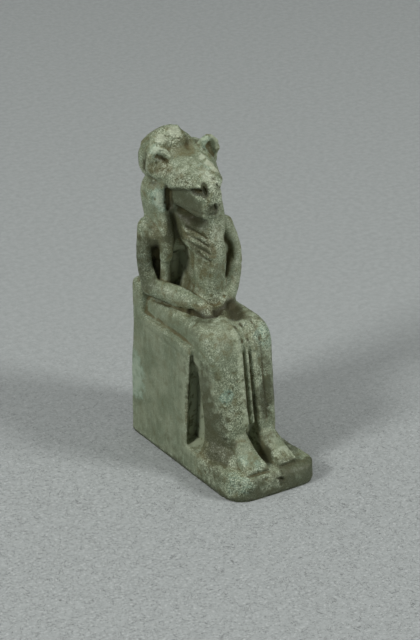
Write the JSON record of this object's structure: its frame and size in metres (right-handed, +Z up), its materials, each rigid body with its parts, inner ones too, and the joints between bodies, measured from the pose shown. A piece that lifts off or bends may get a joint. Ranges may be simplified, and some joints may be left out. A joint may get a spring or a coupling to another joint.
{
  "type": "seated lion-headed goddess amulet",
  "caption": "Small worn green-grey faience amulet of a lion-headed goddess in a long wig and dress, seated on a low-backed throne with a base.",
  "frame": {"origin": "middle of the underside of the base, on the ground", "axes": "+Z up along the seated figure, -Y the way the goddess faces, -X her right side"},
  "size_m": [0.0128, 0.024, 0.041],
  "materials": {
    "faience": "worn, pitted, matt green-grey glaze with pale turquoise wear and brown dirt in the hollows"
  },
  "bodies": {
    "root": {"lion_goddess_amulet": "faience"}
  },
  "joints": []
}
